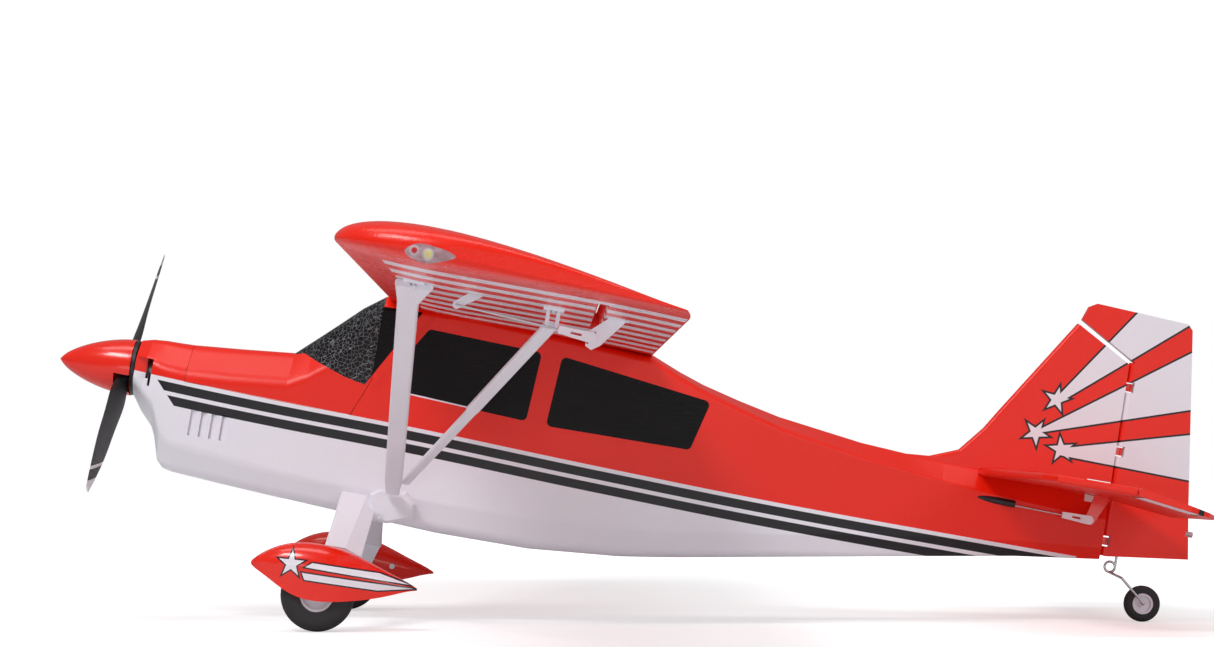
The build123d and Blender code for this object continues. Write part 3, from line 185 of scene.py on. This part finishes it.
    def finish(self, color, roughness, normal=None, **settings):
        """Feed the shader and hand over the material; settings name its other inputs."""
        self.feed(self.shader.inputs["Base Color"], color)
        self.feed(self.shader.inputs["Roughness"], roughness)
        if normal is not None:
            self.links.new(normal, self.shader.inputs["Normal"])
        for name, value in settings.items():
            self.shader.inputs[name.replace("_", " ")].default_value = value
        return self.material


# ---- colours and shared surfaces ----------------------------------------------------------

RED = (0.88, 0.015, 0.003, 1.0)
WHITE = (0.86, 0.84, 0.91, 1.0)
BLACK = (0.010, 0.009, 0.012, 1.0)
FILM_BLACK = (0.003, 0.002, 0.003, 1.0)
CHARCOAL = (0.02, 0.02, 0.022, 1.0)
STEEL = (0.55, 0.55, 0.58, 1.0)

# Sizes in metres: the foam's beads, how deep their edges and the paint's grain are
BEAD, BEAD_DEPTH, GRAIN_DEPTH = 0.0034, 0.00016, 0.00005


def tinted(tree, color, amount=0.05):
    """The colour with a slight cloudiness, as sprayed paint has."""
    dark = tuple(channel * (1 - 2 * amount) for channel in color[:3]) + (1.0,)
    light = tuple(min(channel * (1 + amount), 1.0) for channel in color[:3]) + (1.0,)
    return tree.mix(tree.noise(14.0, 3.0), dark, light)


def foam_normal(tree):
    """Moulded bead foam: a faint network of bead edges under a fine grain."""
    beads = tree.bump(tree.cells(BEAD), BEAD_DEPTH, 0.55)
    return tree.bump(tree.noise(900.0, 2.0), GRAIN_DEPTH, 0.4, under=beads)


# ---- camera, light and floor --------------------------------------------------------------

CAMERA = Vector((0.0646, 2.040, 0.1236))
AIM = Vector((0.0172, 0.0, 0.2282))
ROLL = math.radians(0.22)
SENSOR_WIDTH = 36.0
LENS_PER_SENSOR_WIDTH = 2.18

LIGHT_TARGET = Vector((0.0, 0.0, 0.12))
SURROUND_LIGHT = 0.27          # how bright the surround is for the aeroplane; the camera sees 1

# The floor's half width, how far out its glow starts to rise and is full, and its first glow
FLOOR_HALF, GLOW_START, GLOW_FULL = 6.0, 0.45, 1.5
GLOW_NEAR = 0.5


def add_camera():
    """A low, distant camera off the left wing tip, turned a little about its line of sight."""
    data = bpy.data.cameras.new("camera")
    data.sensor_width = SENSOR_WIDTH
    data.lens = LENS_PER_SENSOR_WIDTH * SENSOR_WIDTH
    camera = bpy.data.objects.new("camera", data)
    bpy.context.scene.collection.objects.link(camera)
    camera.location = CAMERA
    look = (AIM - CAMERA).to_track_quat("-Z", "Y") @ Quaternion((0, 0, 1), ROLL)
    camera.rotation_euler = look.to_euler()
    bpy.context.scene.camera = camera


def add_light(name, place, size, power):
    """A rectangular lamp that faces the aeroplane; size in metres and power in watts."""
    data = bpy.data.lights.new(name, "AREA")
    data.shape = "RECTANGLE"
    data.size, data.size_y = size
    data.energy = power
    light = bpy.data.objects.new(name, data)
    bpy.context.scene.collection.objects.link(light)
    light.location = place
    light.rotation_euler = (LIGHT_TARGET - Vector(place)).to_track_quat("-Z", "Y").to_euler()


def add_world():
    """An even white surround: bright behind the aeroplane, softer where it lights it."""
    world = bpy.data.worlds.new("studio")
    world.use_nodes = True
    tree = world.node_tree
    background = tree.nodes["Background"]
    background.inputs["Color"].default_value = (1.0, 1.0, 1.0, 1.0)
    path = tree.nodes.new("ShaderNodeLightPath")
    level = tree.nodes.new("ShaderNodeMapRange")
    level.inputs["To Min"].default_value = SURROUND_LIGHT
    level.inputs["To Max"].default_value = 1.0
    tree.links.new(path.outputs["Is Camera Ray"], level.inputs["Value"])
    tree.links.new(level.outputs["Result"], background.inputs["Strength"])
    bpy.context.scene.world = world


def add_studio():
    """A key light, a fill, one overhead and one low by the camera, in a white surround."""
    add_light("key", (1.1, 1.5, 2.0), (0.9, 0.5), 27.0)
    add_light("fill", (-1.6, 2.2, 0.9), (1.4, 0.8), 9.0)
    add_light("top", (0.0, 0.2, 2.2), (2.6, 0.6), 15.0)
    add_light("low", (0.1, 2.1, 0.1), (2.4, 0.25), 4.5)
    add_world()
    bpy.context.scene.view_settings.view_transform = "Standard"


def floor_paper():
    """Pale paper that brightens away from the aeroplane, so that it meets the surround unseen."""
    tree = Tree("floor_paper")
    away = tree.nodes.new("ShaderNodeVectorMath")
    away.operation = "LENGTH"
    tree.links.new(tree.place, away.inputs[0])
    glow = tree.nodes.new("ShaderNodeMapRange")
    glow.interpolation_type = "SMOOTHSTEP"
    tree.links.new(away.outputs["Value"], glow.inputs["Value"])
    glow.inputs["From Min"].default_value = GLOW_START
    glow.inputs["From Max"].default_value = GLOW_FULL
    glow.inputs["To Min"].default_value = GLOW_NEAR
    glow.inputs["To Max"].default_value = 1.0
    seen = tree.nodes.new("ShaderNodeLightPath").outputs["Is Camera Ray"]
    tree.feed(tree.shader.inputs["Emission Strength"], tree.math("MULTIPLY", glow.outputs["Result"], seen))
    tree.shader.inputs["Emission Color"].default_value = (1.0, 1.0, 1.0, 1.0)
    return tree.finish(tinted(tree, (0.8, 0.8, 0.81, 1.0), 0.01), 0.8)


def add_floor():
    """One large square of paper under the wheels."""
    mesh = bpy.data.meshes.new("floor")
    corners = [(-FLOOR_HALF, -FLOOR_HALF, 0), (FLOOR_HALF, -FLOOR_HALF, 0),
               (FLOOR_HALF, FLOOR_HALF, 0), (-FLOOR_HALF, FLOOR_HALF, 0)]
    mesh.from_pydata(corners, [], [(0, 1, 2, 3)])
    floor = bpy.data.objects.new("floor", mesh)
    bpy.context.scene.collection.objects.link(floor)
    floor.data.materials.append(floor_paper())


# ---- paint scheme, in the airframe's millimetres ------------------------------------------

# Lower edge of the red paint, as x and z along the fuselage
STRIPE_LINE = [(0.0, -1.5), (-25.0, -3.2), (-110.0, -7.0), (-210.0, -9.6), (-364.0, -16.0),
               (-517.0, -20.9), (-671.0, -22.8), (-760.0, -23.4)]
BAND_EDGES = (3.0, 9.8, 12.8, 19.6)            # millimetres below the stripe line
BAND_FRONT = [(-23.6, -5.8), (-39.8, -23.5)]   # the slanted line where the bands start
BAND_BACK, EDGE_BACK = -730.6, -737.5          # where the bands and the white below them end
OUTLINE = 1.5                                  # width of the black line around a decal
WHEEL_Y = 140.0                                # how far out a wheel's middle is
STAR_WAIST = 0.382                             # a star's inner radius over its outer one

# Stars on the fin: centre, direction of one point, and the edges of the ray that leaves it
FIN_STARS = [
    ((-703.9, 93.4), 23.5, [(-707.3, 100.2), (-756.4, 170.7)], [(-710.9, 95.3), (-797.8, 167.8)]),
    ((-691.9, 65.4), 42.5, [(-710.7, 80.2), (-801.0, 145.4)], [(-702.5, 68.6), (-807.1, 102.5)]),
    ((-713.3, 56.1), 5.0, [(-719.7, 58.6), (-809.8, 83.2)], [(-720.7, 51.3), (-814.9, 48.8)]),
]
FIN_STAR_R = 10.0

# Wheel pant: the star's centre, radius and turn, and the corners of its two bars
PANT_STAR = ((-157.0, -119.6), 9.6, 86.0)
PANT_BARS = [
    [(-167.3, -120.4), (-171.7, -116.7), (-219.3, -116.4), (-241.8, -121.3)],
    [(-245.1, -123.7), (-219.9, -128.6), (-168.0, -129.3), (-165.5, -124.7)],
]

PATCH_X, PATCH_Y = (-783.0, -743.0), (150.0, 184.0)
# The cheek's cooling slot, painted as a black line of shade: its ends as x and z, and its half width
CHEEK_SLOT, CHEEK_SLOT_HALF = [(-18.0, -8.0), (-15.0, 4.6)], 0.5

# Bars under the wing: where the first starts, their pitch, and where the bars' red frame lies
BAR_START, BAR_PITCH, BAR_TIP = 44.0, 64.0, 556.0
BAR_BACK, BAR_FRONT = -388.0, -213.0

# The wing's flat underside as x and z, and how far above it paint still counts as underneath
UNDERSIDE, UNDERSIDE_REACH = [(-388.8, 73.5), (-184.8, 85.3)], 1.2

# Lamps in the wingtip: x and z, radius and colour
LAMPS = [((-232.6, 83.6), 2.7, (0.75, 0.02, 0.03, 1.0)), ((-240.4, 82.6), 3.2, (0.95, 0.85, 0.35, 1.0))]

# White sill along the front window's lower edge
SILL, SILL_WIDTH = [(-262.0, 10.9), (-213.0, 13.8)], 1.1

# Pushrods: x of the clevises' front ends, where the ailerons' rods start and the tail's end in y
AILERON_CLEVIS_X, TAIL_CLEVIS_X = -316.5, -719.5
AILERON_RODS_Y, TAIL_RODS_Y = 300.0, 100.0

# Propeller: the low blade's lean from straight down, and its bands as distances from the hub
BLADE_LEAN = math.radians(49.0)
BAND_SLANT = 1.5                               # how far a band runs out for each mm across
TIP_WHITE, THIN_WHITE = 131.5, (114.5, 118.5)

# Windshield: the net of creases, as the cells' size in metres and the share of a cell that its painted
# highlight lines take
CREASE_CELL, CREASE_SHARE = 0.0032, 0.05


def stripe_line(tree):
    """Height of the red paint's lower edge along the fuselage, as a curve over x."""
    low, high, span = -30.0, 0.0, 760.0
    curve = tree.nodes.new("ShaderNodeFloatCurve")
    tree.links.new(tree.math("MULTIPLY", tree.along("x"), -1.0 / span), curve.inputs["Value"])
    points = curve.mapping.curves[0].points
    knots = [(-x / span, (z - low) / (high - low)) for x, z in STRIPE_LINE]
    points[0].location = knots[0]
    points[1].location = knots[-1]
    for knot in knots[1:-1]:
        points.new(*knot)
    curve.mapping.update()
    return tree.math("MULTIPLY_ADD", curve.outputs["Value"], high - low, low)


def banded(tree):
    """Red above and white below, parted by two black bands with slanted front ends."""
    x, z = tree.along("x"), tree.along("z")
    below = tree.math("SUBTRACT", stripe_line(tree), z)
    edged = tree.both(below, tree.math("SUBTRACT", x, EDGE_BACK))
    color = tree.mix(tree.mask(edged), tinted(tree, RED, 0.03), tinted(tree, WHITE, 0.012))
    aft = tree.both(tree.line(x, z, BAND_FRONT[1], BAND_FRONT[0]), tree.math("SUBTRACT", x, BAND_BACK))
    for top, bottom in (BAND_EDGES[0:2], BAND_EDGES[2:4]):
        band = tree.both(tree.between(below, top, bottom), aft)
        color = tree.mix(tree.mask(band), color, BLACK)
    return color


def paint_finish(tree, color, gloss):
    """Satin paint over moulded bead foam."""
    roughness = tree.spread(tree.noise(40.0), gloss - 0.05, gloss + 0.08)
    return tree.finish(color, roughness, foam_normal(tree), Specular_IOR_Level=0.38)


def fuselage_paint():
    """The bands over satin foam."""
    tree = Tree("fuselage_paint")
    return paint_finish(tree, banded(tree), 0.34)


def cowl_paint():
    """The fuselage's bands carried on, with each cheek's cooling slot painted as a black line of shade."""
    tree = Tree("cowl_paint")
    x, z = tree.along("x"), tree.along("z")
    beside = tree.math("ABSOLUTE", tree.line(x, z, *CHEEK_SLOT))
    # Painted shade: a thin black line stands in for the dark inside of the cooling slot
    painted_slot_shade = tree.both(tree.math("SUBTRACT", CHEEK_SLOT_HALF, beside),
                     tree.between(z, CHEEK_SLOT[0][1], CHEEK_SLOT[1][1]))
    color = tree.mix(tree.mask(painted_slot_shade), banded(tree), BLACK)
    return paint_finish(tree, color, 0.28)


def ray(tree, x, z, centre, upper, lower):
    """Distance inside a ray that widens from a star's centre between two edges."""
    middle = Vector(upper[1]) - Vector(upper[0]) + Vector(lower[1]) - Vector(lower[0])
    across = Vector(centre) + Vector((middle.y, -middle.x))
    return tree.both(tree.line(x, z, *upper), tree.line(x, z, lower[1], lower[0]),
                     tree.line(x, z, centre, across))


def fin_paint():
    """Three stars on the fin, each with a ray that widens to the rudder's back edge."""
    tree = Tree("fin_paint")
    x, z = tree.along("x"), tree.along("z")
    shapes = []
    for centre, turn, upper, lower in FIN_STARS:
        shapes.append(tree.star(x, z, centre, FIN_STAR_R, turn))
        shapes.append(ray(tree, x, z, centre, upper, lower))
    color = tree.outlined(tinted(tree, RED, 0.03), tree.either(*shapes), OUTLINE)
    return paint_finish(tree, color, 0.32)


def pant_paint():
    """A star and two tapering bars on the outer side of a wheel pant."""
    tree = Tree("pant_paint")
    x, z = tree.along("x"), tree.along("z")
    shapes = [tree.star(x, z, *PANT_STAR)]
    shapes += [tree.convex(x, z, bar) for bar in PANT_BARS]
    outboard = tree.math("SUBTRACT", tree.math("ABSOLUTE", tree.along("y")), WHEEL_Y)
    decal = tree.both(tree.either(*shapes), tree.math("SUBTRACT", outboard, OUTLINE))
    color = tree.outlined(tinted(tree, RED, 0.03), decal, 0.7 * OUTLINE)
    roughness = tree.spread(tree.noise(50.0), 0.18, 0.28)
    return tree.finish(color, roughness, tree.bump(tree.noise(30.0), 0.0002, 0.2), Coat_Weight=0.3)


def tail_paint():
    """Red tailplane and elevator, with a white patch on the upper side of each tip."""
    tree = Tree("tail_paint")
    span = tree.math("ABSOLUTE", tree.along("y"))
    patch = tree.both(tree.between(tree.along("x"), *PATCH_X), tree.between(span, *PATCH_Y))
    color = tree.outlined(tinted(tree, RED, 0.03), patch, 1.6 * OUTLINE)
    return paint_finish(tree, color, 0.32)


def propeller_paint():
    """Satin black blades with slanted white bands near their tips."""
    tree = Tree("propeller_paint")
    y, z = tree.along("y"), tree.along("z")
    low = (math.sin(BLADE_LEAN), -math.cos(BLADE_LEAN))
    reach = tree.math("ADD", tree.math("MULTIPLY", y, low[0]), tree.math("MULTIPLY", z, low[1]))
    beside = tree.math("ADD", tree.math("MULTIPLY", y, -low[1]), tree.math("MULTIPLY", z, low[0]))
    slant = tree.math("MULTIPLY", tree.math("SIGN", reach), tree.math("MULTIPLY", beside, BAND_SLANT))
    out = tree.math("SUBTRACT", tree.math("ABSOLUTE", reach), slant)
    white = tree.either(tree.math("SUBTRACT", out, TIP_WHITE), tree.between(out, *THIN_WHITE))
    color = tree.mix(tree.mask(white), tinted(tree, (0.02, 0.019, 0.02, 1.0), 0.1), WHITE)
    roughness = tree.spread(tree.noise(60.0), 0.3, 0.45)
    return tree.finish(color, roughness, tree.bump(tree.noise(600.0), 0.00003, 0.4))


def black_film(name, depth):
    """Gloss black over foam whose beads show through by this depth in metres."""
    tree = Tree(name)
    edges = tree.cells(CREASE_CELL)
    crease = tree.nodes.new("ShaderNodeMapRange")
    tree.links.new(edges, crease.inputs["Value"])
    crease.inputs["From Max"].default_value = 0.12
    pebbles = tree.bump(crease.outputs["Result"], depth, 0.9)
    fine = tree.bump(tree.noise(500.0, 2.0), 0.00003, 0.2, under=pebbles)
    roughness = tree.spread(tree.noise(60.0), 0.2, 0.3)
    return tree, roughness, fine


def windshield_film():
    """Black film that has shrunk over the foam into a net of fine creases, with painted highlights along
    them.
    """
    tree, roughness, normal = black_film("windshield_film", 0.0003)
    crease = tree.math("SUBTRACT", CREASE_SHARE, tree.cells(CREASE_CELL))
    # Painted highlight: pale grey colour along the crease lines, patchy with noise
    painted_crease_glint = tree.math("MULTIPLY", tree.mask(crease, 0.03), tree.spread(tree.noise(35.0), 0.0, 0.7))
    color = tree.mix(painted_crease_glint, FILM_BLACK, (0.36, 0.36, 0.39, 1.0))
    return tree.finish(color, roughness, normal, Specular_IOR_Level=0.25)


def window_film():
    """Nearly smooth black panels; the front one has a thin white sill."""
    tree, roughness, normal = black_film("window_film", 0.00003)
    x, z = tree.along("x"), tree.along("z")
    sill = tree.both(tree.between(tree.line(x, z, *SILL), -0.2, SILL_WIDTH),
                     tree.between(x, SILL[0][0], SILL[1][0]))
    color = tree.mix(tree.mask(sill), FILM_BLACK, WHITE)
    return tree.finish(color, roughness, normal, Specular_IOR_Level=0.12)


def moulded(name, color, roughness=0.45, grain=0.00006, **settings):
    """Moulded plastic: slightly cloudy, with a fine grain."""
    tree = Tree(name)
    normal = tree.bump(tree.noise(700.0, 3.0), grain, 0.5)
    shade = tree.spread(tree.noise(55.0), roughness - 0.06, roughness + 0.08)
    return tree.finish(tinted(tree, color, 0.04), shade, normal, **settings)


def metal(name, color, roughness=0.32):
    """Bare metal with fine scratches."""
    tree = Tree(name)
    scratches = tree.bump(tree.noise(1500.0, 2.0), 0.00003, 0.5)
    shade = tree.spread(tree.noise(220.0), roughness - 0.1, roughness + 0.12)
    return tree.finish(tinted(tree, color, 0.06), shade, scratches, Metallic=1.0)


def pushrod_look():
    """Steel wire that carries a white nylon clevis at its tail end."""
    tree = Tree("pushrod")
    x, y = tree.along("x"), tree.math("ABSOLUTE", tree.along("y"))
    outboard = tree.both(tree.math("SUBTRACT", y, AILERON_RODS_Y),
                         tree.math("SUBTRACT", AILERON_CLEVIS_X, x))
    tail = tree.both(tree.math("SUBTRACT", TAIL_RODS_Y, y), tree.math("SUBTRACT", TAIL_CLEVIS_X, x))
    nylon = tree.mask(tree.either(outboard, tail))
    color = tree.mix(nylon, tinted(tree, STEEL, 0.06), WHITE)
    tree.feed(tree.shader.inputs["Metallic"], tree.spread(nylon, 1.0, 0.0))
    scratches = tree.bump(tree.noise(900.0), 0.00003, 0.4)
    return tree.finish(color, tree.spread(tree.noise(220.0), 0.28, 0.4), scratches)


def lamp(tree, place, radius):
    """Distance inside a round lamp seen from the side."""
    across = tree.math("SUBTRACT", tree.along("x"), place[0])
    up = tree.math("SUBTRACT", tree.along("z"), place[1])
    return tree.math("SUBTRACT", radius, tree.reach(across, up))


def clear_lens():
    """Clear plastic over a red lamp in front and a warm white one behind; its colour clouds from the dark
    red seen through it into pale pink painted reflections.
    """
    tree = Tree("clear_lens")
    cloud_and_painted_reflection = tree.noise(160.0, 2.0)
    # Partly painted light: the pale pink end of this mix is a painted reflection, and the dark red end is
    # the red seen through the lens
    color = tree.mix(cloud_and_painted_reflection, (0.30, 0.07, 0.08, 1.0), (0.80, 0.62, 0.68, 1.0))
    for place, radius, glow in LAMPS:
        bulb = lamp(tree, place, radius)
        color = tree.mix(tree.mask(bulb, 0.5), color, (0.75, 0.65, 0.70, 1.0))
        color = tree.mix(tree.mask(tree.math("SUBTRACT", bulb, 1.0), 0.4), color, glow)
    return tree.finish(color, tree.spread(tree.noise(90.0), 0.05, 0.12),
                       tree.bump(cloud_and_painted_reflection, 0.0004, 0.3), Transmission_Weight=0.25, IOR=1.45)


def wing_paint():
    """Red, with chordwise white bars under the wing behind the nose."""
    tree = Tree("wing_paint")
    x, z = tree.along("x"), tree.along("z")
    span = tree.math("ABSOLUTE", tree.along("y"))
    under = tree.math("SUBTRACT", UNDERSIDE_REACH, tree.line(x, z, *UNDERSIDE))
    phase = tree.math("WRAP", tree.math("SUBTRACT", span, BAR_START), BAR_PITCH, 0.0)
    bar = tree.math("SUBTRACT", phase, BAR_PITCH / 2)
    frame_edge = tree.both(tree.between(x, BAR_BACK, BAR_FRONT), tree.math("SUBTRACT", BAR_TIP, span))
    white = tree.both(bar, frame_edge, under)
    color = tree.mix(tree.mask(white, 0.3), tinted(tree, RED, 0.03), WHITE)
    return paint_finish(tree, color, 0.27)


def wood():
    """Birch plywood with a fine grain across it."""
    tree = Tree("plywood")
    grain = tree.noise(120.0, 6.0)
    color = tree.mix(grain, (0.42, 0.28, 0.14, 1.0), (0.62, 0.45, 0.26, 1.0))
    return tree.finish(color, tree.spread(grain, 0.5, 0.7), tree.bump(grain, 0.0001, 0.4))


def assign(names, material):
    """Give one material to every node named."""
    for name in names:
        node = frame["nodes"][name]
        node.data.materials.clear()
        node.data.materials.append(material)


def pair(name):
    """The names of a left and right node."""
    return [name + "_left", name + "_right"]


def paint_everything():
    """Give every node its material."""
    white_nylon = moulded("white_nylon", WHITE)
    black_nylon = moulded("black_nylon", BLACK, 0.4)
    red_plastic = moulded("red_plastic", RED, 0.22, Coat_Weight=0.3)
    assign(["fuselage", "battery_hatch"], fuselage_paint())
    assign(["cowl"], cowl_paint())
    assign(["windshield"], windshield_film())
    assign(["cabin_windows"], window_film())
    assign([*pair("wing"), *pair("aileron")], wing_paint())
    assign(["fin", "rudder"], fin_paint())
    assign(["tailplane", "elevator"], tail_paint())
    assign(pair("wheel_pant"), pant_paint())
    assign(["spinner", "elevator_horn", "surface_hinges"], red_plastic)
    assign(["propeller"], propeller_paint())
    assign(["spinner_backplate", "pushrod_sleeves", "elevator_servo_arm", "rudder_servo_arm"], black_nylon)
    assign([*pair("aileron_servo_arm"), *pair("aileron_horn"), "rudder_horn", "strut_roots",
            "strut_brackets", "tail_hub", *pair("main_hub")], white_nylon)
    assign([*pair("front_strut"), *pair("rear_strut"), *pair("gear_leg")],
           moulded("strut_white", WHITE, 0.42))
    assign(["main_axles", "tail_wheel_spring", "screws", "propeller_shaft"], metal("steel", STEEL))
    assign(["elevator_pushrod", "rudder_pushrod", *pair("aileron_pushrod")], pushrod_look())
    assign(["motor_stator", "motor_bell"], metal("alloy", (0.62, 0.63, 0.66, 1.0), 0.38))
    assign(["tail_tyre", *pair("main_tyre")], moulded("tyre_rubber", CHARCOAL, 0.7, 0.0002))
    assign(["wing_tip_lights", "rudder_light"], clear_lens())
    assign(["servos", "receiver", "speed_controller"],
           moulded("electronics_case", (0.03, 0.03, 0.034, 1.0), 0.5))
    assign(["battery"], moulded("battery_wrap", (0.02, 0.05, 0.2, 1.0), 0.35))
    assign(["wing_tube"], moulded("carbon", CHARCOAL, 0.35))
    assign(["motor_mount"], wood())


add_camera()
add_studio()
add_floor()
paint_everything()
